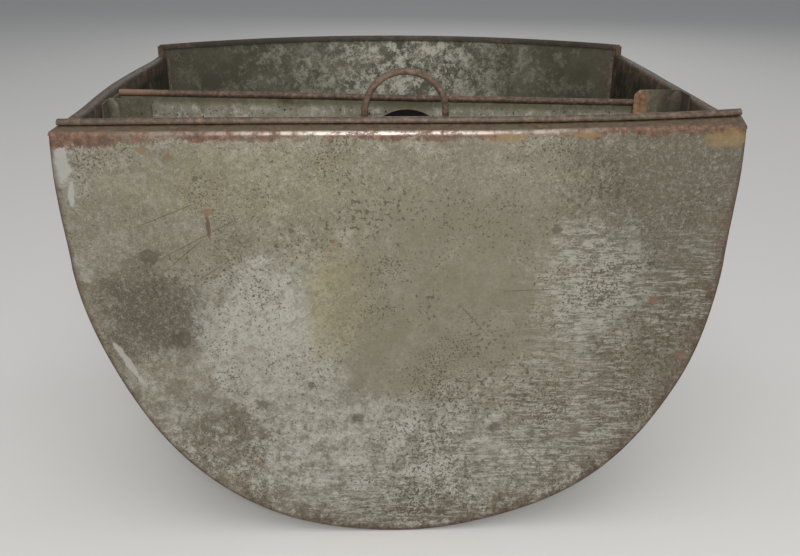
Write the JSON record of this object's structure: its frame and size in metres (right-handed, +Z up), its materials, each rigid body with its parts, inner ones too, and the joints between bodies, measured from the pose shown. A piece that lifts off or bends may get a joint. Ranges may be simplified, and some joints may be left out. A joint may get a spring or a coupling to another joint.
{
  "type": "feed scoop",
  "caption": "Round-bottomed tinplate feed scoop: flat end panels, a wired rim, a lift-out divider with a finger hole and a wire pull ring.",
  "frame": {"origin": "on the ground under the middle of the scoop, midway between its two end panels", "axes": "+X across the scoop, +Y from the near panel with the pull ring to the tall far panel, +Z up"},
  "size_m": [0.281, 0.186, 0.2232],
  "materials": {
    "wrap_tin": "dull grey-brown tinplate, rusted on the inside",
    "panel_tin": "weathered grey tinplate with rust along its edges",
    "far_tin": "mottled grey-green tinplate",
    "divider_tin": "mottled grey tinplate with a rusted top edge",
    "guide_tin": "weathered tin with orange rust",
    "rim_wire": "brown rusted wire",
    "ring_wire": "brown rusted wire, worn smooth",
    "solder": "dull grey solder"
  },
  "bodies": {
    "trough": {"body_wrap": "wrap_tin", "near_end_panel": "panel_tin", "far_end_panel": "far_tin", "right_front_guide": "guide_tin", "left_front_guide": "guide_tin", "right_rear_guide": "guide_tin", "left_rear_guide": "guide_tin", "right_rim_wire": "rim_wire", "left_rim_wire": "rim_wire", "near_rim_wire": "rim_wire", "ring_strap": "guide_tin", "near_seam_solder": "solder", "far_seam_solder": "solder", "guide_solder": "solder", "strap_solder": "solder"},
    "divider": {"divider_plate": "divider_tin", "divider_rim_wire": "rim_wire"},
    "ring": {"pull_ring": "ring_wire"}
  },
  "joints": [
    {"name": "divider_lift", "type": "slide", "parent": "trough", "child": "divider", "axis": [0, 0, 1], "range_m": [0, 0.21]},
    {"name": "ring_hinge", "type": "hinge", "parent": "trough", "child": "ring", "pos_m": [0.0019, -0.0818, 0.2009], "axis": [-1, 0, 0], "range_deg": [0, 185]}
  ]
}
